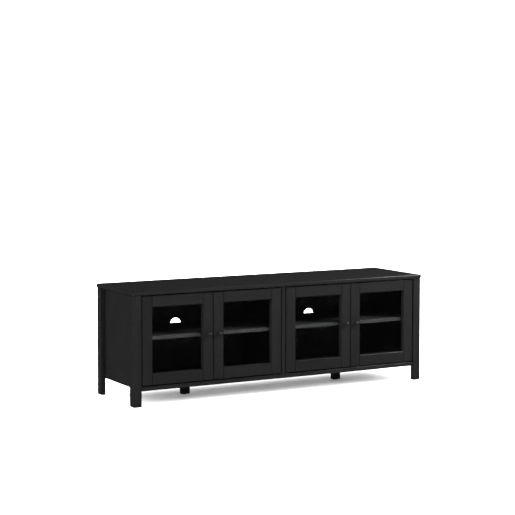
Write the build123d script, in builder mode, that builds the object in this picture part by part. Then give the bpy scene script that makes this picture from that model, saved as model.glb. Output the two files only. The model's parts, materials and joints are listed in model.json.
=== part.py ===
from build123d import *
import os

os.makedirs("parts", exist_ok=True)

# Media cabinet with four framed glass doors. Millimetres, +Z up, the front faces -Y.
# The origin is on the floor, under the centre of the cabinet's overall box.

# ---- carcass: driving dimensions ----
body_width = 1800.0  # over the outer faces of the legs
body_depth = 475.0  # front of the front legs to back of the back legs
height = 606.5

top_thickness = 22.0
top_side_overhang = 5.0
top_front_overhang = 6.0
top_back_overhang = 1.5
top_corner_radius = 9.0
top_edge_radius = 4.0
top_under_radius = 7.0

leg_thickness = 27.0  # the board that runs front to back
leg_depth = 50.0
front_leg_width = 46.0  # the front leg's lip covers the side panel's front edge
front_lip_depth = 27.0
edge_round = 1.5

side_bottom = 95.0
divider_thickness = 21.0
bottom_panel_underside = 82.5
bottom_panel_thickness = 21.5
back_recess = 11.0  # carcass back edges in front of the back legs' back faces
back_panel_thickness = 4.0
back_panel_clearance = 0.5
cable_hole_radius = 33.0
cable_hole_height = 356.0

shelf_thickness = 20.0
shelf_top = 363.0
shelf_setback = 43.0  # shelf front edge behind the legs' front faces
shelf_clearance = 1.0

foot_width = 46.0
foot_depth = 32.0
foot_offset = 483.0  # centre feet, either side of the middle
foot_setback = 248.0

glide_height = 2.5
glide_radius = 10.0
glide_pin_radius = 1.5
glide_pin_length = 12.0

# ---- doors: driving dimensions ----
door_recess = 5.5  # door fronts behind the legs' front faces
door_thickness = 32.0
member_width = 58.5  # stiles and rails
door_top_gap = 5.0
door_bottom_gap = 7.0
leg_gap = 6.0
divider_gap = 5.5
meeting_gap = 4.5
door_edge_round = 1.0
rabbet_width = 7.0
rabbet_depth = 5.0
glass_thickness = 4.0
glass_cover = 6.0  # how far the pane reaches behind the frame
tenon_length = 10.0
tenon_thickness = 8.0
tenon_width = 40.0
mortise_play = 0.2
knob_reach = 24.0
knob_height = 353.0

# ---- fasteners and fittings ----
pivot_inset = 10.0  # pivot axis from the door's hinge edge
pivot_setback = 8.0  # pivot axis behind the door's front face
pivot_radius = 2.5
pivot_running_clearance = 0.05
pivot_collar_radius = 6.0
pivot_seat = 12.0
pivot_reach = 14.0
screw_radius = 2.0
screw_length = 38.0
screw_head_radius = 4.2
screw_clearance_radius = 2.4
bolt_thread_radius = 2.5
bolt_thread_length = 11.0
bolt_stem_radius = 2.0
bolt_head_radius = 3.2
bolt_head_length = 3.5
bolt_reach = 24.0  # joint face to cam centre
bolt_bore_radius = 3.6
cam_radius = 7.4
cam_length = 14.0
cam_hole_radius = 7.5
dowel_radius = 4.0
dowel_length = 28.0
dowel_seat = 11.0  # depth of a dowel in the horizontal panel
back_screw_radius = 1.5
back_screw_length = 16.0
shelf_pin_radius = 2.5
shelf_pin_head_radius = 3.5
shelf_pin_seat = 8.5
shelf_pin_reach = 8.0
shelf_hole_pitch = 32.0
clip_peg_radius = 2.4
clip_peg_length = 9.0
clip_offset = 11.5  # clip pegs outside the glass opening
strike_radius = 6.0
strike_thickness = 1.2
strike_height = 573.5
strike_inset = 12.5
catch_width = 50.0
catch_depth = 14.0
catch_height = 18.0
catch_gap = 0.3
knob_screw_radius = 2.0
end_play = 0.5  # a blind hole is this much deeper than what sits in it

# ---- derived positions ----
top_underside = height - top_thickness
front = (knob_reach - door_recess - body_depth - top_back_overhang) / 2
back = front + body_depth
carcass_back = back - back_recess
side_front = front + front_lip_depth
side_outer = body_width / 2 - leg_thickness
side_inner = body_width / 2 - front_leg_width
side_thickness = side_outer - side_inner
side_middle = (side_outer + side_inner) / 2
bottom_panel_top = bottom_panel_underside + bottom_panel_thickness
half_divider = divider_thickness / 2
door_front = front + door_recess
door_back = door_front + door_thickness
door_bottom = bottom_panel_top + door_bottom_gap
door_top = top_underside - door_top_gap
glass_front = door_back - rabbet_depth
bay_width = side_inner - half_divider
door_width = (bay_width - leg_gap - meeting_gap - divider_gap) / 2
bay_middle = (side_inner + half_divider) / 2
meeting_middle = side_inner - leg_gap - door_width - meeting_gap / 2
pivot_y = door_front + pivot_setback
sides = (("left", -1), ("right", 1))

# Each door is (name, X of its hinge edge, +1 if it hangs on its left edge or -1 on its right).
doors = (
    ("door1", -(side_inner - leg_gap), 1),
    ("door2", -(half_divider + divider_gap), -1),
    ("door3", half_divider + divider_gap, 1),
    ("door4", side_inner - leg_gap, -1),
)

# Screws join the side panels to the legs, the bottom panel to the divider and to the centre feet.
leg_screw_heights = (150.0, 290.0, 430.0, 540.0)
front_leg_screw_y = front + (front_lip_depth + leg_depth) / 2
back_leg_screw_y = carcass_back - 14.0
divider_screw_ys = (front + 120.0, front + 350.0)
foot_screw_spread = 12.0
foot_y = front + foot_setback

# Cam joints hold the top to the three uprights and the bottom panel to the sides.
top_cam_ys = (front + 70.0, front + 400.0)
bottom_cam_ys = (front + 90.0, front + 380.0)
bottom_bolt_height = bottom_panel_underside + 12.5
top_dowel_ys = (front + 115.0, front + 355.0)
bottom_dowel_ys = (front + 180.0, front + 290.0)
upright_middles = (-side_middle, 0.0, side_middle)

shelf_pin_height = shelf_top - shelf_thickness - shelf_pin_head_radius
shelf_pin_ys = (front + 75.0, front + 400.0)
back_screw_heights = (130.0, 270.0, 410.0, 550.0)
back_screw_offsets = (220.0, 430.0, 640.0)


def save(piece, name):
    """Label a finished piece and write it as its own STEP file."""
    piece.part.label = name
    export_step(piece.part, f"parts/{name}.step")


def block(x, y, z, mode=Mode.ADD):
    """A rectangular block between pairs of X, Y and Z limits, given in either order."""
    with BuildSketch(Plane.XY.offset(min(z))) as footprint:
        with Locations(((x[0] + x[1]) / 2, (y[0] + y[1]) / 2)):
            Rectangle(abs(x[1] - x[0]), abs(y[1] - y[0]))
    extrude(footprint.sketch, amount=abs(z[1] - z[0]), mode=mode)


def points(xs, ys, zs):
    """Every combination of the given X, Y and Z values."""
    return [(x, y, z) for x in xs for y in ys for z in zs]


def planes(centers, outward):
    """One plane at each centre, facing the outward direction."""
    return [Plane(origin=center, z_dir=outward) for center in centers]


def drill(centers, outward, radius, depth):
    """Blind round holes in a face that looks in the outward direction."""
    with Locations(*planes(centers, outward)):
        Hole(radius, depth)


# ---- where the fasteners sit ----
leg_screw_points = {
    sign: points([sign * side_inner], [front_leg_screw_y, back_leg_screw_y], leg_screw_heights)
    for _, sign in sides
}
divider_screw_points = points([0], divider_screw_ys, [bottom_panel_underside])
foot_screw_xs = [s * foot_offset + d for s in (-1, 1) for d in (-foot_screw_spread, foot_screw_spread)]
foot_screw_points = points(foot_screw_xs, [foot_y], [bottom_panel_top])
top_bolt_points = points(upright_middles, top_cam_ys, [top_underside])
top_dowel_points = points(upright_middles, top_dowel_ys, [top_underside])
bottom_dowel_points = points([0], bottom_dowel_ys, [bottom_panel_top])
pivot_xs = [hinge_x + s * pivot_inset for _, hinge_x, s in doors]
catch_peg_xs = [s * meeting_middle + d for s in (-1, 1) for d in (-18, 18)]
catch_front = door_back + strike_thickness + catch_gap
catch_middle_y = catch_front + catch_depth / 2
leg_middle_x = body_width / 2 - leg_thickness / 2
glide_points = points([-leg_middle_x, leg_middle_x], [front + leg_depth / 2, back - leg_depth / 2], [0])
glide_points += points([-foot_offset, foot_offset], [foot_y], [0])


# ---- top ----
with BuildPart() as top_panel:
    with BuildSketch(Plane.XY.offset(top_underside)):
        with Locations((0, (front - top_front_overhang + back + top_back_overhang) / 2)):
            RectangleRounded(
                body_width + 2 * top_side_overhang,
                body_depth + top_front_overhang + top_back_overhang,
                top_corner_radius,
            )
    extrude(amount=top_thickness)
    fillet(top_panel.faces().sort_by(Axis.Z)[-1].edges(), top_edge_radius)
    fillet(top_panel.faces().sort_by(Axis.Z)[0].edges(), top_under_radius)
    drill(top_bolt_points, (0, 0, -1), bolt_thread_radius, bolt_thread_length + end_play)
    drill(top_dowel_points, (0, 0, -1), dowel_radius, dowel_seat + end_play)
    drill(points(pivot_xs, [pivot_y], [top_underside]), (0, 0, -1), pivot_radius, pivot_seat + end_play)
    catch_points = points(catch_peg_xs, [catch_middle_y], [top_underside])
    drill(catch_points, (0, 0, -1), clip_peg_radius, clip_peg_length)
save(top_panel, "top_panel")


# ---- legs and side panels ----
for side, sign in sides:
    outer_face = sign * body_width / 2
    board_face = sign * side_outer
    inner_face = sign * side_inner

    with BuildPart() as front_leg:
        with BuildSketch(Plane.XY.offset(glide_height)):
            with Locations(((outer_face + board_face) / 2, front + leg_depth / 2)):
                Rectangle(leg_thickness, leg_depth)
            with Locations(((outer_face + inner_face) / 2, front + front_lip_depth / 2)):
                Rectangle(front_leg_width, front_lip_depth)
        extrude(amount=top_underside - glide_height)
        upright_edges = front_leg.edges().filter_by(Axis.Z).group_by(Axis.Y)
        fillet(upright_edges[0] + upright_edges[-1], edge_round)
        chamfer(front_leg.faces().sort_by(Axis.Z)[0].edges(), 1)
        screw_points = points([board_face], [front_leg_screw_y], leg_screw_heights)
        drill(screw_points, (-sign, 0, 0), screw_radius, screw_length - side_thickness + end_play)
        glide_point = (sign * leg_middle_x, front + leg_depth / 2, glide_height)
        drill([glide_point], (0, 0, -1), glide_pin_radius, glide_pin_length + end_play)
    save(front_leg, f"front_leg_{side}")

    with BuildPart() as back_leg:
        block((outer_face, board_face), (back - leg_depth, back), (glide_height, top_underside))
        fillet(back_leg.edges().filter_by(Axis.Z), edge_round)
        chamfer(back_leg.faces().sort_by(Axis.Z)[0].edges(), 1)
        screw_points = points([board_face], [back_leg_screw_y], leg_screw_heights)
        drill(screw_points, (-sign, 0, 0), screw_radius, screw_length - side_thickness + end_play)
        glide_point = (sign * leg_middle_x, back - leg_depth / 2, glide_height)
        drill([glide_point], (0, 0, -1), glide_pin_radius, glide_pin_length + end_play)
    save(back_leg, f"back_leg_{side}")

    with BuildPart() as side_panel:
        block((board_face, inner_face), (side_front, carcass_back), (side_bottom, top_underside))
        chamfer(side_panel.faces().sort_by(Axis.Z)[0].edges(), 0.5)
        with Locations(*planes(leg_screw_points[sign], (-sign, 0, 0))):
            CounterSinkHole(screw_clearance_radius, screw_head_radius + 0.1, counter_sink_angle=90)
        pin_heights = [shelf_pin_height + step * shelf_hole_pitch for step in (-1, 0, 1)]
        pin_points = points([inner_face], shelf_pin_ys, pin_heights)
        drill(pin_points, (-sign, 0, 0), shelf_pin_radius, shelf_pin_seat + end_play)
        cam_points = points([inner_face], top_cam_ys, [top_underside - bolt_reach])
        drill(cam_points, (-sign, 0, 0), cam_hole_radius, cam_length + end_play)
        bolt_points = points([sign * side_middle], top_cam_ys, [top_underside])
        drill(bolt_points, (0, 0, 1), bolt_bore_radius, bolt_reach + bolt_head_length)
        dowel_points = points([sign * side_middle], top_dowel_ys, [top_underside])
        drill(dowel_points, (0, 0, 1), dowel_radius, dowel_length - dowel_seat + end_play)
        bolt_points = points([inner_face], bottom_cam_ys, [bottom_bolt_height])
        drill(bolt_points, (-sign, 0, 0), bolt_thread_radius, bolt_thread_length + end_play)
        back_points = points([sign * side_middle], [carcass_back], back_screw_heights)
        drill(back_points, (0, 1, 0), back_screw_radius, back_screw_length - back_panel_thickness)
    save(side_panel, f"side_panel_{side}")


# ---- bottom panel and centre divider ----
with BuildPart() as bottom_panel:
    block((-side_inner, side_inner), (door_front, carcass_back), (bottom_panel_underside, bottom_panel_top))
    fillet(bottom_panel.faces().sort_by(Axis.Y)[0].edges().filter_by(Axis.X), edge_round)
    pivot_points = points(pivot_xs, [pivot_y], [bottom_panel_top])
    drill(pivot_points, (0, 0, 1), pivot_radius, pivot_seat + end_play)
    cam_xs = [side_inner - bolt_reach, bolt_reach - side_inner]
    cam_points = points(cam_xs, bottom_cam_ys, [bottom_panel_underside])
    drill(cam_points, (0, 0, -1), cam_hole_radius, cam_length + end_play)
    for _, sign in sides:
        bolt_points = points([sign * side_inner], bottom_cam_ys, [bottom_bolt_height])
        drill(bolt_points, (sign, 0, 0), bolt_bore_radius, bolt_reach + bolt_head_length)
    with Locations(*planes(divider_screw_points, (0, 0, -1)), *planes(foot_screw_points, (0, 0, 1))):
        CounterSinkHole(
            screw_clearance_radius, screw_head_radius + 0.1, bottom_panel_thickness + 1, counter_sink_angle=90
        )
    drill(bottom_dowel_points, (0, 0, 1), dowel_radius, dowel_seat + end_play)
    back_xs = [s * offset for s in (-1, 1) for offset in back_screw_offsets]
    back_points = points(back_xs, [carcass_back], [bottom_panel_underside + bottom_panel_thickness / 2])
    drill(back_points, (0, 1, 0), back_screw_radius, back_screw_length - back_panel_thickness)
save(bottom_panel, "bottom_panel")

with BuildPart() as center_divider:
    block((-half_divider, half_divider), (door_front, carcass_back), (bottom_panel_top, top_underside))
    fillet(center_divider.edges().filter_by(Axis.Z).group_by(Axis.Y)[0], door_edge_round)
    for sign, cam_y in zip((-1, 1), top_cam_ys):
        cam_points = [(sign * half_divider, cam_y, top_underside - bolt_reach)]
        drill(cam_points, (sign, 0, 0), cam_hole_radius, cam_length + end_play)
        pin_points = points([sign * half_divider], shelf_pin_ys, pin_heights)
        drill(pin_points, (sign, 0, 0), shelf_pin_radius, shelf_pin_seat + end_play)
        back_points = points([sign * half_divider / 2], [carcass_back], back_screw_heights)
        drill(back_points, (0, 1, 0), back_screw_radius, back_screw_length - back_panel_thickness)
    bolt_points = points([0], top_cam_ys, [top_underside])
    drill(bolt_points, (0, 0, 1), bolt_bore_radius, bolt_reach + bolt_head_length)
    dowel_points = points([0], top_dowel_ys, [top_underside])
    drill(dowel_points, (0, 0, 1), dowel_radius, dowel_length - dowel_seat + end_play)
    drill(bottom_dowel_points, (0, 0, -1), dowel_radius, dowel_length - dowel_seat + end_play)
    divider_pilots = points([0], divider_screw_ys, [bottom_panel_top])
    drill(divider_pilots, (0, 0, -1), screw_radius, screw_length - bottom_panel_thickness + end_play)
save(center_divider, "center_divider")


# ---- back panels, shelves and centre feet ----
back_screw_points = []
for side, sign in sides:
    edge_xs = [sign * side_middle, sign * half_divider / 2]
    panel_screws = points(edge_xs, [carcass_back + back_panel_thickness], back_screw_heights)
    bottom_xs = [sign * offset for offset in back_screw_offsets]
    bottom_z = bottom_panel_underside + bottom_panel_thickness / 2
    panel_screws += points(bottom_xs, [carcass_back + back_panel_thickness], [bottom_z])
    back_screw_points += panel_screws

    with BuildPart() as back_panel:
        block(
            (sign * back_panel_clearance / 2, sign * (side_outer - back_panel_clearance)),
            (carcass_back, carcass_back + back_panel_thickness),
            (bottom_panel_underside + back_panel_clearance, top_underside - back_panel_clearance),
        )
        hole_center = (sign * bay_middle, carcass_back, cable_hole_height)
        drill([hole_center], (0, -1, 0), cable_hole_radius, 2 * back_panel_thickness)
        drill(panel_screws, (0, 1, 0), back_screw_radius, 2 * back_panel_thickness)
    save(back_panel, f"back_panel_{side}")

    with BuildPart() as shelf:
        block(
            (sign * (half_divider + shelf_clearance), sign * (side_inner - shelf_clearance)),
            (front + shelf_setback, carcass_back - shelf_clearance),
            (shelf_top - shelf_thickness, shelf_top),
        )
        fillet(shelf.edges().filter_by(Axis.X).group_by(Axis.Y)[0], door_edge_round)
    save(shelf, f"shelf_{side}")

    with BuildPart() as center_foot:
        middle = sign * foot_offset
        block(
            (middle - foot_width / 2, middle + foot_width / 2),
            (foot_y - foot_depth / 2, foot_y + foot_depth / 2),
            (glide_height, bottom_panel_underside),
        )
        fillet(center_foot.edges().filter_by(Axis.Z), edge_round)
        chamfer(center_foot.faces().sort_by(Axis.Z)[0].edges(), 1)
        pilot_xs = [middle - foot_screw_spread, middle + foot_screw_spread]
        pilots = points(pilot_xs, [foot_y], [bottom_panel_underside])
        drill(pilots, (0, 0, 1), screw_radius, screw_length - bottom_panel_thickness + end_play)
        drill([(middle, foot_y, glide_height)], (0, 0, -1), glide_pin_radius, glide_pin_length + end_play)
    save(center_foot, f"center_foot_{side}")


# ---- fasteners and fittings of the carcass ----
with BuildPart() as one_glide:  # stands on Z = 0, pin upwards
    Cylinder(glide_radius, glide_height, align=(Align.CENTER, Align.CENTER, Align.MIN))
    fillet(one_glide.edges().sort_by(Axis.Z)[0], 0.8)
    Cylinder(
        glide_pin_radius,
        glide_height + glide_pin_length,
        align=(Align.CENTER, Align.CENTER, Align.MIN),
    )

with BuildPart() as foot_glides:
    with Locations(*glide_points):
        add(one_glide.part)
save(foot_glides, "foot_glides")

with BuildPart() as one_shelf_pin:  # shank along -Z into the panel
    with Locations((0, 0, -shelf_pin_seat)):
        Cylinder(shelf_pin_radius, shelf_pin_seat, align=(Align.CENTER, Align.CENTER, Align.MIN))
    Cylinder(shelf_pin_head_radius, shelf_pin_reach, align=(Align.CENTER, Align.CENTER, Align.MIN))
    fillet(one_shelf_pin.edges().sort_by(Axis.Z)[-1], 0.8)

with BuildPart() as shelf_pins:
    for _, sign in sides:
        side_points = points([sign * side_inner], shelf_pin_ys, [shelf_pin_height])
        divider_points = points([sign * half_divider], shelf_pin_ys, [shelf_pin_height])
        with Locations(*planes(side_points, (-sign, 0, 0)), *planes(divider_points, (sign, 0, 0))):
            add(one_shelf_pin.part)
save(shelf_pins, "shelf_pins")


def make_pivot_pin(gap):
    """A pin with its seat along -Z in the panel and a collar that spaces the door by the gap."""
    with BuildPart() as pin:
        with Locations((0, 0, -pivot_seat)):
            Cylinder(
                pivot_radius, pivot_seat + gap + pivot_reach, align=(Align.CENTER, Align.CENTER, Align.MIN)
            )
        chamfer(pin.edges().sort_by(Axis.Z)[-1], 0.6)
        Cylinder(pivot_collar_radius, gap - 0.1, align=(Align.CENTER, Align.CENTER, Align.MIN))
    return pin.part


lower_pin = make_pivot_pin(door_bottom_gap)
upper_pin = make_pivot_pin(door_top_gap)
with BuildPart() as pivot_pins:
    with Locations(*planes(points(pivot_xs, [pivot_y], [bottom_panel_top]), (0, 0, 1))):
        add(lower_pin)
    with Locations(*planes(points(pivot_xs, [pivot_y], [top_underside]), (0, 0, -1))):
        add(upper_pin)
save(pivot_pins, "pivot_pins")

with BuildPart() as magnet_catches:
    for _, sign in sides:
        middle = sign * meeting_middle
        block(
            (middle - catch_width / 2, middle + catch_width / 2),
            (catch_front, catch_front + catch_depth),
            (top_underside - catch_height, top_underside),
        )
    fillet(magnet_catches.edges().filter_by(Axis.Z), 2)
    with Locations(*points(catch_peg_xs, [catch_middle_y], [top_underside])):
        Cylinder(clip_peg_radius, clip_peg_length - end_play, align=(Align.CENTER, Align.CENTER, Align.MIN))
    magnet_offset = meeting_gap / 2 + strike_inset
    magnet_xs = [s * meeting_middle + d for s in (-1, 1) for d in (-magnet_offset, magnet_offset)]
    with Locations(*planes(points(magnet_xs, [catch_front], [strike_height]), (0, -1, 0))):
        Cylinder(strike_radius - 1, 1, mode=Mode.SUBTRACT)
save(magnet_catches, "magnet_catches")

with BuildPart() as one_cam_bolt:  # thread along -Z into one panel, head along +Z into the cam
    with Locations((0, 0, -bolt_thread_length)):
        Cylinder(bolt_thread_radius, bolt_thread_length, align=(Align.CENTER, Align.CENTER, Align.MIN))
    Cylinder(bolt_stem_radius, bolt_reach, align=(Align.CENTER, Align.CENTER, Align.MIN))
    with Locations((0, 0, bolt_reach - bolt_head_length / 2)):
        Cylinder(bolt_head_radius, bolt_head_length, align=(Align.CENTER, Align.CENTER, Align.MIN))

bottom_bolt_planes = []
bottom_cam_points = []
for _, sign in sides:
    bottom_bolt_planes += planes(
        points([sign * side_inner], bottom_cam_ys, [bottom_bolt_height]), (-sign, 0, 0)
    )
    bottom_cam_points += points(
        [sign * (side_inner - bolt_reach)], bottom_cam_ys, [bottom_panel_underside]
    )
all_bolt_planes = planes(top_bolt_points, (0, 0, -1)) + bottom_bolt_planes

with BuildPart() as cam_bolts:
    with Locations(*all_bolt_planes):
        add(one_cam_bolt.part)
save(cam_bolts, "cam_bolts")

cam_height = top_underside - bolt_reach
cam_planes = planes(points([-side_inner], top_cam_ys, [cam_height]), (1, 0, 0))
cam_planes += planes(points([side_inner], top_cam_ys, [cam_height]), (-1, 0, 0))
cam_planes += planes([(-half_divider, top_cam_ys[0], cam_height)], (-1, 0, 0))
cam_planes += planes([(half_divider, top_cam_ys[1], cam_height)], (1, 0, 0))
cam_planes += planes(bottom_cam_points, (0, 0, -1))

with BuildPart() as one_cam_lock:  # face just under Z = 0, driver slot on top
    Cylinder(cam_radius, cam_length, align=(Align.CENTER, Align.CENTER, Align.MAX))
    Box(8, 1.6, 3, mode=Mode.SUBTRACT)
    Box(1.6, 8, 3, mode=Mode.SUBTRACT)

with BuildPart() as cam_locks:
    with Locations(*cam_planes):
        add(one_cam_lock.part)
    with Locations(*all_bolt_planes):
        Hole(bolt_bore_radius, bolt_reach + bolt_head_length)
save(cam_locks, "cam_locks")

with BuildPart() as wood_dowels:
    with Locations(*planes(top_dowel_points, (0, 0, 1)), *planes(bottom_dowel_points, (0, 0, -1))):
        with Locations((0, 0, dowel_seat - dowel_length)):
            Cylinder(dowel_radius, dowel_length, align=(Align.CENTER, Align.CENTER, Align.MIN))
save(wood_dowels, "wood_dowels")

with BuildPart() as one_carcass_screw:  # head face just under Z = 0, shank along -Z
    with Locations((0, 0, -screw_length)):
        Cylinder(screw_radius, screw_length - 0.1, align=(Align.CENTER, Align.CENTER, Align.MIN))
    with Locations((0, 0, -0.05)):
        Cone(
            screw_radius,
            screw_head_radius,
            screw_head_radius - screw_radius,
            align=(Align.CENTER, Align.CENTER, Align.MAX),
        )
    Box(4, 0.9, 2.4, mode=Mode.SUBTRACT)
    Box(0.9, 4, 2.4, mode=Mode.SUBTRACT)

with BuildPart() as carcass_screws:
    for _, sign in sides:
        with Locations(*planes(leg_screw_points[sign], (-sign, 0, 0))):
            add(one_carcass_screw.part)
    with Locations(*planes(divider_screw_points, (0, 0, -1)), *planes(foot_screw_points, (0, 0, 1))):
        add(one_carcass_screw.part)
save(carcass_screws, "carcass_screws")

with BuildPart() as one_back_screw:  # pan head on Z = 0, shank along -Z
    Cylinder(3.5, 1.8, align=(Align.CENTER, Align.CENTER, Align.MIN))
    fillet(one_back_screw.edges().sort_by(Axis.Z)[-1], 1)
    Cylinder(back_screw_radius, back_screw_length - end_play, align=(Align.CENTER, Align.CENTER, Align.MAX))
    with Locations((0, 0, 1.8)):
        Box(3.4, 0.7, 1.6, mode=Mode.SUBTRACT)
        Box(0.7, 3.4, 1.6, mode=Mode.SUBTRACT)

with BuildPart() as back_panel_screws:
    with Locations(*planes(back_screw_points, (0, 1, 0))):
        add(one_back_screw.part)
save(back_panel_screws, "back_panel_screws")


# ---- doors ----
opening_bottom = door_bottom + member_width
opening_top = door_top - member_width
opening_middle = (opening_bottom + opening_top) / 2
member_middle_y = door_front + door_thickness / 2
tenon_ys = (member_middle_y - tenon_thickness / 2, member_middle_y + tenon_thickness / 2)
mortise_ys = (tenon_ys[0] - mortise_play, tenon_ys[1] + mortise_play)
rail_middles = (opening_bottom - member_width / 2, opening_top + member_width / 2)
clip_heights = (opening_bottom + 60, opening_top - 60)
clip_spread = 80.0

with BuildPart() as one_clip:  # peg along -Z into the frame, tongue along +X over the glass
    with BuildSketch(Plane.XY):
        with Locations((2.75, 0)):
            RectangleRounded(15.5, 12, 2)
    extrude(amount=2)
    glass_back = rabbet_depth - glass_thickness
    with Locations((clip_offset - 3.5, 0, -glass_back)):
        Box(5, 12, glass_back + 1, align=(Align.CENTER, Align.CENTER, Align.MIN))
    Cylinder(clip_peg_radius, clip_peg_length, align=(Align.CENTER, Align.CENTER, Align.MAX))

with BuildPart() as one_knob:  # mushroom knob, base on Z = 0, turned about Z
    with BuildSketch(Plane.XZ):
        with BuildLine():
            Polyline((0, knob_reach), (0, 0), (8, 0), (8, 1.6))
            ThreePointArc((8, 1.6), (5.8, 4), (5, 8))
            ThreePointArc((5, 8), (7.6, 12.4), (12.6, 14.6))
            ThreePointArc((12.6, 14.6), (13, 18), (10, 21.4))
            TangentArc((0, knob_reach), (10, 21.4), tangent=(1, 0))
        make_face()
    revolve(axis=Axis.Z)
    Hole(knob_screw_radius, 10)

with BuildPart() as one_knob_screw:  # pan head on Z = 0, shank along -Z
    Cylinder(4, 2.2, align=(Align.CENTER, Align.CENTER, Align.MIN))
    fillet(one_knob_screw.edges().sort_by(Axis.Z)[-1], 1.2)
    Cylinder(knob_screw_radius, door_thickness + 9, align=(Align.CENTER, Align.CENTER, Align.MAX))
    with Locations((0, 0, 2.2)):
        Box(4.4, 0.9, 2, mode=Mode.SUBTRACT)
        Box(0.9, 4.4, 2, mode=Mode.SUBTRACT)

with BuildPart() as one_strike:  # disc on Z = 0, peg along -Z
    Cylinder(strike_radius, strike_thickness, align=(Align.CENTER, Align.CENTER, Align.MIN))
    chamfer(one_strike.edges().sort_by(Axis.Z)[-1], 0.3)
    Cylinder(screw_radius, 7, align=(Align.CENTER, Align.CENTER, Align.MAX))

for name, hinge_x, s in doors:
    meeting_x = hinge_x + s * door_width
    opening_xs = (hinge_x + s * member_width, meeting_x - s * member_width)
    stiles = (
        ("hinge_stile", hinge_x, opening_xs[0], s),
        ("meeting_stile", meeting_x, opening_xs[1], -s),
    )
    clip_planes = []

    for stile_name, outer_x, inner_x, inward in stiles:
        clip_points = points([inner_x - inward * clip_offset], [door_back], clip_heights)
        clip_planes += [Plane(origin=p, x_dir=(inward, 0, 0), z_dir=(0, 1, 0)) for p in clip_points]
        with BuildPart() as stile:
            block((outer_x, inner_x), (door_front, door_back), (door_bottom, door_top))
            fillet(stile.edges().filter_by(Axis.Z), door_edge_round)
            fillet(stile.edges().filter_by(Axis.X).group_by(Axis.Y)[0], door_edge_round)
            block(
                (inner_x, inner_x - inward * rabbet_width),
                (glass_front, door_back),
                (opening_bottom - rabbet_width, opening_top + rabbet_width),
                Mode.SUBTRACT,
            )
            for rail_z in rail_middles:
                block(
                    (inner_x, inner_x - inward * (tenon_length + end_play)),
                    mortise_ys,
                    (rail_z - tenon_width / 2 - mortise_play, rail_z + tenon_width / 2 + mortise_play),
                    Mode.SUBTRACT,
                )
            drill(clip_points, (0, 1, 0), clip_peg_radius + 0.05, clip_peg_length + end_play)
            if stile_name == "hinge_stile":
                pin_radius = pivot_radius + pivot_running_clearance
                pin_ends = points([hinge_x + s * pivot_inset], [pivot_y], [door_bottom, door_top])
                drill(pin_ends, (0, 0, 1), pin_radius, pivot_reach + 1)
            else:
                knob_x = (outer_x + inner_x) / 2
                knob_hole = (knob_x, door_back, knob_height)
                drill([knob_hole], (0, 1, 0), knob_screw_radius + 0.1, door_thickness + 1)
                strike_point = (meeting_x - s * strike_inset, door_back, strike_height)
                drill([strike_point], (0, 1, 0), screw_radius, 7 + end_play)
        save(stile, f"{name}_{stile_name}")

    opening_middle_x = (opening_xs[0] + opening_xs[1]) / 2
    rails = (
        ("bottom_rail", rail_middles[0], opening_bottom, 1),
        ("top_rail", rail_middles[1], opening_top, -1),
    )
    for rail_name, rail_z, inner_z, inward in rails:
        clip_xs = [opening_middle_x - clip_spread, opening_middle_x + clip_spread]
        clip_points = points(clip_xs, [door_back], [inner_z - inward * clip_offset])
        clip_planes += [Plane(origin=p, x_dir=(0, 0, inward), z_dir=(0, 1, 0)) for p in clip_points]
        with BuildPart() as rail:
            block(opening_xs, (door_front, door_back), (rail_z - member_width / 2, rail_z + member_width / 2))
            fillet(rail.faces().sort_by(Axis.Y)[0].edges(), door_edge_round)
            fillet(rail.edges().filter_by(Axis.X).group_by(Axis.Y)[-1], door_edge_round)
            block(
                opening_xs,
                (glass_front, door_back),
                (inner_z, inner_z - inward * rabbet_width),
                Mode.SUBTRACT,
            )
            block(
                (min(opening_xs) - tenon_length, max(opening_xs) + tenon_length),
                tenon_ys,
                (rail_z - tenon_width / 2, rail_z + tenon_width / 2),
            )
            drill(clip_points, (0, 1, 0), clip_peg_radius + 0.05, clip_peg_length + end_play)
        save(rail, f"{name}_{rail_name}")

    with BuildPart() as glass:
        block(
            (min(opening_xs) - glass_cover, max(opening_xs) + glass_cover),
            (glass_front, glass_front + glass_thickness),
            (opening_bottom - glass_cover, opening_top + glass_cover),
        )
        chamfer(glass.edges().filter_by(Axis.Y), 1)
    save(glass, f"{name}_glass")

    with BuildPart() as glass_clips:
        with Locations(*clip_planes):
            add(one_clip.part)
    save(glass_clips, f"{name}_glass_clips")

    with BuildPart() as knob:
        with Locations(*planes([(knob_x, door_front, knob_height)], (0, -1, 0))):
            add(one_knob.part)
    save(knob, f"{name}_knob")

    with BuildPart() as knob_screw:
        with Locations(*planes([(knob_x, door_back, knob_height)], (0, 1, 0))):
            add(one_knob_screw.part)
    save(knob_screw, f"{name}_knob_screw")

    with BuildPart() as strike_plate:
        with Locations(*planes([strike_point], (0, 1, 0))):
            add(one_strike.part)
    save(strike_plate, f"{name}_strike_plate")
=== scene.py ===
import json
import math

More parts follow.
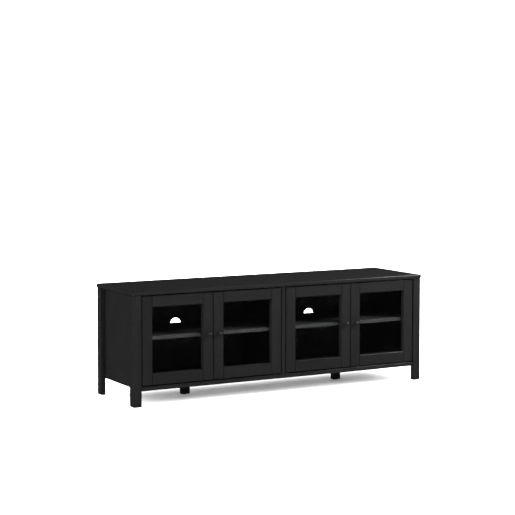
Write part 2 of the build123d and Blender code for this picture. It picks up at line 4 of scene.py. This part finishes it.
import bpy
from mathutils import Euler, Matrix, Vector


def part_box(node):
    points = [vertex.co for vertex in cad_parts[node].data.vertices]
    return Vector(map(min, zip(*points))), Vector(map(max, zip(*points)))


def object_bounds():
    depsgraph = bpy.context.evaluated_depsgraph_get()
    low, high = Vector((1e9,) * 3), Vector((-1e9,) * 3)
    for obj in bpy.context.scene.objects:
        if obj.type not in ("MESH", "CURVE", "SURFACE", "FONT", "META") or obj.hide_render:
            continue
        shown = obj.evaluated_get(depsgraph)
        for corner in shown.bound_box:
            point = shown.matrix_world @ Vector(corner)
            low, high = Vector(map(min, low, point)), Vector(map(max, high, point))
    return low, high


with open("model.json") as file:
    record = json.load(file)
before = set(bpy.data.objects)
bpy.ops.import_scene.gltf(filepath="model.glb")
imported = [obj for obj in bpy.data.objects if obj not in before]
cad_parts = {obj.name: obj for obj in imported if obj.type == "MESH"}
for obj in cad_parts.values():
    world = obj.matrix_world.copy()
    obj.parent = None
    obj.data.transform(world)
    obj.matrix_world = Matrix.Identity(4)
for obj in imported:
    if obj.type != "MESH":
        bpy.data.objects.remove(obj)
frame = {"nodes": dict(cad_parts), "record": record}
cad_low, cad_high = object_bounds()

# The media cabinet's looks. Metres, +Z up, the doors face -Y, the floor is Z = 0.
# Every piece is a CAD node that keeps its mesh and gets a material made of nodes, by its slot.

nodes = frame["nodes"]
slot_of = {entry["node"]: entry["material_slot"] for entry in frame["record"]["subparts"]}


# ---- small helpers for node trees ----
class Tree:
    """A material's node tree, with short ways to add nodes and join them."""

    def __init__(self, name):
        self.material = bpy.data.materials.new(name)
        self.material.use_nodes = True
        self.tree = self.material.node_tree
        self.tree.nodes.clear()
        self.output = self.add("ShaderNodeOutputMaterial")

    def add(self, kind, settings=None, **inputs):
        """A node with its properties and its inputs set.

        An input is a number, a tuple or another node's output.
        """
        node = self.tree.nodes.new(kind)
        for key, value in (settings or {}).items():
            setattr(node, key, value)
        for key, value in inputs.items():
            self.set(node, key.replace("_", " "), value)
        return node

    def set(self, node, key, value):
        """Sets or links one input, found by its name or its number."""
        socket = node.inputs[int(key[1:]) if key[0] == "#" else key]
        if isinstance(value, bpy.types.NodeSocket):
            self.tree.links.new(value, socket)
        else:
            socket.default_value = value

    def math(self, operation, first, second=0.0):
        """The result of a Math node on two values."""
        node = self.add("ShaderNodeMath", {"operation": operation})
        self.set(node, "#0", first)
        self.set(node, "#1", second)
        return node.outputs[0]

    def fit(self, value, low, high, to_low=0.0, to_high=1.0):
        """The value moved from one range to another, smoothly, and held at its ends."""
        node = self.add("ShaderNodeMapRange", {"interpolation_type": "SMOOTHSTEP"}, Value=value)
        for number, limit in enumerate((low, high, to_low, to_high), start=1):
            self.set(node, f"#{number}", limit)
        return node.outputs[0]

    def mix(self, factor, first, second):
        """A colour between two colours."""
        node = self.add("ShaderNodeMix", {"data_type": "RGBA"})
        self.set(node, "#0", factor)
        self.set(node, "#6", first)
        self.set(node, "#7", second)
        return node.outputs[2]

    def noise(self, vector, scale=1.0, detail=2.0, roughness=0.5, distortion=0.0):
        """The value of a noise pattern."""
        node = self.add("ShaderNodeTexNoise", Vector=vector, Scale=scale, Detail=detail)
        self.set(node, "Roughness", roughness)
        self.set(node, "Distortion", distortion)
        return node.outputs["Fac"]

    def bump(self, height, distance, strength=1.0):
        """The normal of a surface whose height varies by up to distance, in metres."""
        node = self.add("ShaderNodeBump", Height=height, Distance=distance, Strength=strength)
        return node.outputs["Normal"]

    def finish(self, color, roughness, normal=None, metallic=0.0, specular=0.5):
        """Ends the tree in a Principled shader."""
        shader = self.add("ShaderNodeBsdfPrincipled", Base_Color=color, Roughness=roughness)
        self.set(shader, "Metallic", metallic)
        self.set(shader, "Specular IOR Level", specular)
        if normal is not None:
            self.set(shader, "Normal", normal)
        self.tree.links.new(shader.outputs[0], self.output.inputs["Surface"])
        return self.material


def grey(value, warmth=0.0):
    """A near-grey colour, warmer for a positive warmth."""
    return (value * (1 + warmth), value, value * (1 - warmth), 1.0)


WHITE = grey(1.0)


# ---- wood ----
GRAIN_TURN = ((0, 0, 0), (0, 0, -math.pi / 2), (0, math.pi / 2, 0))  # by a board's longest axis
BOARD_STEP = (0.737, 0.411, 0.593)  # from one board's place in the wood to the next, in metres

# How often each pattern repeats in a metre, along the grain and across it.
FIGURE = (0.9, 16)
FIBRE = (14, 620)
PORES = (70, 1500)

PORE_STAIN = 0.45  # the colour in a pore, as a share of the dark stain
SEAM_SHADE_TONE = 0.12  # and the painted shade in a seam, the same way
SEAM_CORE = 0.001  # the painted shade in a seam is darkest this near to its middle
SEAM_REACH = 0.0032  # and its shade ends here
EDGE_WEAR_AND_HIGHLIGHT_REACH = 0.0016  # a board's edges are painted lighter this near to them, as rubbed stain and as a painted highlight
POLISH_REACH = 0.006  # handling has polished the lacquer this near to them
POLISHED = 0.6  # the roughness there, as a share of the rest
SCUFFED = 0.8  # the roughness of level faces, where things stand and are wiped
LEVEL = (0.97, 0.999)  # the upward share of a normal, from where a face starts to count as level
WOOD_RELIEF = 0.00012  # the depth of the pores

# The darkest and lightest stain, the lighter edge colour (rubbed stain and a painted highlight), the
# roughness and the specular level.
CASE_STAIN = {"dark": 0.0138, "light": 0.0178, "edge_wear_and_highlight": 0.038, "roughness": 0.34, "specular": 0.4}
SHELF_STAIN = {"dark": 0.083, "light": 0.099, "edge_wear_and_highlight": 0.13, "roughness": 0.42, "specular": 0.35}
BARE_BEECH = {"dark": 0.36, "light": 0.5, "edge_wear_and_highlight": 0.55, "roughness": 0.6, "specular": 0.5}
BEECH_WARMTH = 0.28


def board_space(tree, number, low, high):
    """Coordinates that run along a board's grain in X, with each board cut from its own place."""
    size = high - low
    along = max(range(3), key=lambda axis: size[axis])
    place = tree.add("ShaderNodeTexCoord").outputs["Object"]
    turned = tree.add("ShaderNodeMapping", Vector=place, Rotation=GRAIN_TURN[along])
    shift = tuple(number * step for step in BOARD_STEP)
    moved = tree.add("ShaderNodeMapping", Vector=turned.outputs[0], Location=shift)
    return place, moved.outputs[0]


def stretched(tree, vector, repeats):
    """Coordinates in which a pattern repeats that often in a metre, along the grain and across it."""
    along, across = repeats
    return tree.add("ShaderNodeMapping", Vector=vector, Scale=(along, across, across)).outputs[0]


def edge_nearness(tree, place, low, high, reach):
    """1 on the edges of a board's box, falling to 0 at the given distance from them."""
    middle = (low + high) / 2
    half = (high - low) / 2
    offset = tree.add("ShaderNodeVectorMath", {"operation": "SUBTRACT"})
    tree.set(offset, "#0", place)
    tree.set(offset, "#1", tuple(middle))
    split = tree.add("ShaderNodeSeparateXYZ", Vector=offset.outputs[0])
    depths = []
    for axis in range(3):
        outward = tree.math("ABSOLUTE", split.outputs[axis])
        depths.append(tree.math("SUBTRACT", half[axis], outward))
    total = tree.math("ADD", tree.math("ADD", depths[0], depths[1]), depths[2])
    least = tree.math("MINIMUM", tree.math("MINIMUM", depths[0], depths[1]), depths[2])
    most = tree.math("MAXIMUM", tree.math("MAXIMUM", depths[0], depths[1]), depths[2])
    second = tree.math("SUBTRACT", tree.math("SUBTRACT", total, least), most)
    return tree.fit(second, 0.0, reach, 1.0, 0.0)


def seam_shade(tree, place, seams):
    """1 in the narrow grooves where a rail meets its stiles, at the given X values, where shade is
    painted.
    """
    across = tree.add("ShaderNodeSeparateXYZ", Vector=place).outputs[0]
    gaps = [tree.math("ABSOLUTE", tree.math("SUBTRACT", across, x)) for x in seams]
    return tree.fit(tree.math("MINIMUM", *gaps), SEAM_CORE, SEAM_REACH, 1.0, 0.0)


def wood(name, number, low, high, dark, light, edge_wear_and_highlight, roughness, specular, warmth=0.0, seams=()):
    """Stained or bare wood: broad figure, fine fibres, open pores, edges painted lighter as rubbed
    stain and as a painted highlight, and painted shade in any seams.
    """
    tree = Tree(name)
    place, board = board_space(tree, number, low, high)
    figure = tree.noise(stretched(tree, board, FIGURE), detail=4, distortion=0.8)
    fibre = tree.noise(stretched(tree, board, FIBRE), detail=3, roughness=0.6)
    pore_field = tree.noise(stretched(tree, board, PORES), detail=1)
    pores = tree.math("MULTIPLY", tree.fit(pore_field, 0.56, 0.68), tree.fit(figure, 0.42, 0.6))

    streaks = tree.math("ADD", tree.math("MULTIPLY", figure, 0.65), tree.math("MULTIPLY", fibre, 0.35))
    base = tree.mix(tree.fit(streaks, 0.35, 0.65), grey(dark, warmth), grey(light, warmth))
    stained = tree.mix(tree.math("MULTIPLY", pores, 0.55), base, grey(dark * PORE_STAIN, warmth))
    patchy = tree.fit(tree.noise(board, scale=90, detail=3), 0.48, 0.7)
    # The edges are painted lighter, partly as rubbed stain and partly as a painted highlight.
    edge_wear_and_highlight_mask = tree.math("MULTIPLY", edge_nearness(tree, place, low, high, EDGE_WEAR_AND_HIGHLIGHT_REACH), patchy)
    color = tree.mix(tree.math("MULTIPLY", edge_wear_and_highlight_mask, 0.5), stained, grey(edge_wear_and_highlight, warmth))
    # Painted shade in the grooves where a rail meets its stiles.
    if seams:
        color = tree.mix(seam_shade(tree, place, seams), color, grey(dark * SEAM_SHADE_TONE, warmth))

    touched = tree.noise(board, scale=7, detail=2)
    sheen = tree.fit(touched, 0.3, 0.7, roughness - 0.03, roughness + 0.04)
    handled = edge_nearness(tree, place, low, high, POLISH_REACH)
    polish = tree.fit(handled, 0.0, 1.0, 1.0, POLISHED)
    lacquer = tree.math("ADD", tree.math("MULTIPLY", sheen, polish), tree.math("MULTIPLY", pores, 0.15))
    facing = tree.add("ShaderNodeNewGeometry").outputs["True Normal"]
    upward = tree.add("ShaderNodeSeparateXYZ", Vector=facing).outputs[2]
    scuffs = tree.fit(fibre, 0.3, 0.7, SCUFFED - 0.04, SCUFFED + 0.04)
    level = tree.fit(upward, *LEVEL)
    dull = tree.add("ShaderNodeMix", {"data_type": "FLOAT"})
    for socket, value in (("#0", level), ("#2", lacquer), ("#3", scuffs)):
        tree.set(dull, socket, value)
    height = tree.math("SUBTRACT", tree.math("MULTIPLY", fibre, 0.35), pores)
    return tree.finish(color, dull.outputs[0], tree.bump(height, WOOD_RELIEF, 0.7), specular=specular)


def stained_wood(name, number, low, high):
    """Charcoal stain under satin lacquer. The shelves are a paler board than the rest."""
    if "_shelf_" in name:
        return wood(name, number, low, high, **SHELF_STAIN)
    # A rail gets painted shade in the seams at its two stiles.
    seams = ()
    if name.endswith("_rail"):
        door = name.split("_")[-3]
        stiles = [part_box(f"{door}_{end}_stile") for end in ("hinge", "meeting")]
        stiles.sort(key=lambda box: box[0].x)
        seams = (stiles[0][1].x, stiles[1][0].x)
    return wood(name, number, low, high, seams=seams, **CASE_STAIN)


def beech(name, number, low, high):
    """The bare wood of the dowels."""
    return wood(name, number, low, high, warmth=BEECH_WARMTH, **BARE_BEECH)


# ---- the other materials ----
def back_board(name, number, low, high):
    """Dark hardboard with its faint fibrous orange peel."""
    tree = Tree(name)
    _, board = board_space(tree, number, low, high)
    fibres = tree.noise(board, scale=520, detail=4, roughness=0.65)
    clouds = tree.noise(board, scale=5, detail=3)
    color = tree.mix(tree.fit(clouds, 0.3, 0.7), grey(0.03), grey(0.038))
    speckled = tree.mix(tree.fit(fibres, 0.55, 0.75, 0.0, 0.5), color, grey(0.055))
    roughness = tree.fit(fibres, 0.3, 0.7, 0.56, 0.7)
    return tree.finish(speckled, roughness, tree.bump(fibres, 0.00025, 0.5))


def knob_metal(name, number, low, high):
    """Satin charcoal paint over a turned metal knob."""
    tree = Tree(name)
    place = tree.add("ShaderNodeTexCoord").outputs["Object"]
    peel = tree.noise(place, scale=900, detail=3)
    clouds = tree.noise(place, scale=120, detail=2)
    color = tree.mix(tree.fit(clouds, 0.35, 0.65), grey(0.012), grey(0.017))
    roughness = tree.fit(peel, 0.3, 0.7, 0.28, 0.36)
    return tree.finish(color, roughness, tree.bump(peel, 0.00006, 0.4), specular=0.3)


def zinc(name, bright, dull_low, dull_high):
    """Zinc plate, finely clouded."""
    tree = Tree(name)
    place = tree.add("ShaderNodeTexCoord").outputs["Object"]
    clouds = tree.noise(place, scale=400, detail=4, roughness=0.6)
    pits = tree.noise(place, scale=2600, detail=2)
    color = tree.mix(tree.fit(clouds, 0.3, 0.7), grey(bright * 0.82), grey(bright, 0.015))
    roughness = tree.fit(clouds, 0.3, 0.7, dull_low, dull_high)
    return tree.finish(color, roughness, tree.bump(pits, 0.00003, 0.5), metallic=1.0)


def zinc_steel(name, number, low, high):
    """Bright zinc plate."""
    return zinc(name, 0.62, 0.26, 0.42)


def cam_zinc(name, number, low, high):
    """Die-cast zinc."""
    return zinc(name, 0.5, 0.4, 0.58)


def black_steel(name, number, low, high):
    """Black zinc plate."""
    return zinc(name, 0.045, 0.36, 0.5)


def black_plastic(name, number, low, high):
    """Moulded nylon with a fine sparked texture."""
    tree = Tree(name)
    place = tree.add("ShaderNodeTexCoord").outputs["Object"]
    sparks = tree.noise(place, scale=3200, detail=2, roughness=0.6)
    clouds = tree.noise(place, scale=150, detail=2)
    color = tree.mix(tree.fit(clouds, 0.35, 0.65), grey(0.012), grey(0.018))
    roughness = tree.fit(sparks, 0.3, 0.7, 0.42, 0.58)
    return tree.finish(color, roughness, tree.bump(sparks, 0.00008, 0.5))


GLASS_SHINE = 0.55  # how much of what glass mirrors is kept
GLASS_TINT = (0.965, 0.975, 0.97, 1.0)


def glass(name, number, low, high):
    """Clear float glass: almost all light passes, and each face mirrors a little, more aslant."""
    tree = Tree(name)
    place = tree.add("ShaderNodeTexCoord").outputs["Object"]
    smears = tree.noise(place, scale=9, detail=5, roughness=0.7, distortion=1.2)
    clear = tree.add("ShaderNodeBsdfTransparent", Color=GLASS_TINT)
    mirror = tree.add("ShaderNodeBsdfGlossy", Color=WHITE)
    tree.set(mirror, "Roughness", tree.fit(smears, 0.45, 0.75, 0.02, 0.09))
    fresnel = tree.add("ShaderNodeFresnel", IOR=1.5).outputs[0]
    share = tree.math("MULTIPLY", fresnel, GLASS_SHINE)
    joined = tree.add("ShaderNodeMixShader")
    tree.set(joined, "#0", share)
    tree.set(joined, "#1", clear.outputs[0])
    tree.set(joined, "#2", mirror.outputs[0])
    tree.tree.links.new(joined.outputs[0], tree.output.inputs["Surface"])
    return tree.material


MAKERS = {
    "stained_wood": stained_wood,
    "back_board": back_board,
    "glass": glass,
    "knob_metal": knob_metal,
    "zinc_steel": zinc_steel,
    "cam_zinc": cam_zinc,
    "black_steel": black_steel,
    "black_plastic": black_plastic,
    "beech": beech,
}
# Each board has its own place in the wood, so it has its own material. The rest share one each.
OWN_MATERIAL = ("stained_wood", "back_board")

shared = {}
for number, (name, piece) in enumerate(sorted(nodes.items())):
    slot = slot_of[name]
    low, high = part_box(name)
    if slot in OWN_MATERIAL:
        material = MAKERS[slot](f"{slot}_{name}", number, low, high)
    else:
        if slot not in shared:
            shared[slot] = MAKERS[slot](slot, number, low, high)
        material = shared[slot]
    for material_slot in piece.material_slots:
        material_slot.link = "DATA"
        material_slot.material = material


# ---- floor ----
FLOOR_HALF = 60.0
FLOOR_SHOWN = 0.86  # the floor's colour
FLOOR_BOUNCE = 0.28  # and its colour to the light that it throws back up at the cabinet


def make_floor():
    """A large pale floor under the feet."""
    mesh = bpy.data.meshes.new("floor")
    corners = [(x * FLOOR_HALF, y * FLOOR_HALF, 0) for x, y in ((-1, -1), (1, -1), (1, 1), (-1, 1))]
    mesh.from_pydata(corners, [], [(0, 1, 2, 3)])
    floor = bpy.data.objects.new("floor", mesh)
    bpy.context.scene.collection.objects.link(floor)
    tree = Tree("floor")
    bounced = tree.add("ShaderNodeLightPath").outputs["Is Diffuse Ray"]
    color = tree.mix(bounced, grey(FLOOR_SHOWN), grey(FLOOR_BOUNCE))
    mesh.materials.append(tree.finish(color, 0.9, specular=0.0))
    floor.visible_glossy = False
    return floor


floor = make_floor()


# ---- light ----
def floor_list(name, state):
    """A collection for a lamp that lights the floor alone, or everything but the floor."""
    group = bpy.data.collections.new(name)
    group.objects.link(floor)
    group.collection_objects[0].light_linking.link_state = state
    return group


floor_only = floor_list("floor_only", "INCLUDE")
floor_apart = floor_list("floor_apart", "EXCLUDE")


MIDDLE = (cad_low + cad_high) / 2
SUN_DISTANCE = 5.0  # only where its mark stands: a sun shines the same from anywhere


def direction(azimuth, elevation):
    """Towards a light. Azimuth 0 is in front, and a positive one is to the right of it."""
    a = math.radians(azimuth)
    e = math.radians(elevation)
    return Vector((math.sin(a) * math.cos(e), -math.cos(a) * math.cos(e), math.sin(e)))


def lamp(data, azimuth, elevation, distance, receivers, mirrored=True):
    """A light in the given direction from the middle of the cabinet, shining on it."""
    piece = bpy.data.objects.new(data.name, data)
    towards = direction(azimuth, elevation)
    piece.location = MIDDLE + towards * distance
    piece.rotation_euler = towards.to_track_quat("Z", "Y").to_euler()
    piece.light_linking.receiver_collection = receivers
    piece.visible_glossy = mirrored
    bpy.context.scene.collection.objects.link(piece)


def sun(name, azimuth, elevation, strength, spread, receivers=floor_apart, mirrored=True):
    """A soft distant light."""
    data = bpy.data.lights.new(name, "SUN")
    data.energy = strength
    data.angle = math.radians(spread)
    lamp(data, azimuth, elevation, SUN_DISTANCE, receivers, mirrored)


def softbox(name, azimuth, elevation, distance, size, power):
    """A round studio light of the given diameter."""
    data = bpy.data.lights.new(name, "AREA")
    data.shape = "DISK"
    data.size = size
    data.energy = power
    lamp(data, azimuth, elevation, distance, floor_apart)


softbox("key", azimuth=50, elevation=30, distance=3.8, size=0.3, power=79)
sun("top", azimuth=8, elevation=58, strength=0.65, spread=12)
sun("side", azimuth=-78, elevation=18, strength=2.0, spread=25, mirrored=False)
sun("rear", azimuth=160, elevation=50, strength=0.25, spread=20, mirrored=False)
sun("dome", azimuth=0, elevation=90, strength=20, spread=170, receivers=floor_only)

BACKDROP = 1.1  # what the camera sees behind everything
ROOM_LIGHT = 0.2
REFLECTED_LOW = 0.02
REFLECTED_TOP = 0.05
REFLECTED_FROM = 0.2  # the sine of the elevation where the reflected room starts to get lighter


def make_world():
    """White to the camera, a dim even room to diffuse rays, and to the rest one lighter overhead."""
    world = bpy.data.worlds.new("studio")
    bpy.context.scene.world = world
    world.use_nodes = True
    tree = world.node_tree
    tree.nodes.clear()

    def background(strength):
        node = tree.nodes.new("ShaderNodeBackground")
        node.inputs["Color"].default_value = WHITE
        node.inputs["Strength"].default_value = strength
        return node

    place = tree.nodes.new("ShaderNodeTexCoord")
    split = tree.nodes.new("ShaderNodeSeparateXYZ")
    climb = tree.nodes.new("ShaderNodeMapRange")
    climb.inputs["From Min"].default_value = REFLECTED_FROM
    climb.inputs["To Min"].default_value = REFLECTED_LOW
    climb.inputs["To Max"].default_value = REFLECTED_TOP
    reflected = background(0.0)
    tree.links.new(place.outputs["Generated"], split.inputs[0])
    tree.links.new(split.outputs["Z"], climb.inputs["Value"])
    tree.links.new(climb.outputs[0], reflected.inputs["Strength"])

    rays = tree.nodes.new("ShaderNodeLightPath")
    last = reflected
    for ray, strength in (("Is Diffuse Ray", ROOM_LIGHT), ("Is Camera Ray", BACKDROP)):
        shown = background(strength)
        mix = tree.nodes.new("ShaderNodeMixShader")
        tree.links.new(rays.outputs[ray], mix.inputs[0])
        tree.links.new(last.outputs[0], mix.inputs[1])
        tree.links.new(shown.outputs[0], mix.inputs[2])
        last = mix
    output = tree.nodes.new("ShaderNodeOutputWorld")
    tree.links.new(last.outputs[0], output.inputs["Surface"])


make_world()
bpy.context.scene.view_settings.view_transform = "Standard"


# ---- camera ----
CAMERA_PLACE = (-4.18595, -7.47514, 1.52859)
CAMERA_DOWN = 3.4435  # degrees below level
CAMERA_TURN = -29.0164  # degrees from straight ahead

camera_data = bpy.data.cameras.new("camera")
camera_data.sensor_width = 36.0
camera_data.lens = 107.98
camera_data.shift_y = -0.10
camera = bpy.data.objects.new("camera", camera_data)
camera.location = CAMERA_PLACE
camera.rotation_euler = Euler((math.radians(90 - CAMERA_DOWN), 0, math.radians(CAMERA_TURN)))
bpy.context.scene.collection.objects.link(camera)
bpy.context.scene.camera = camera
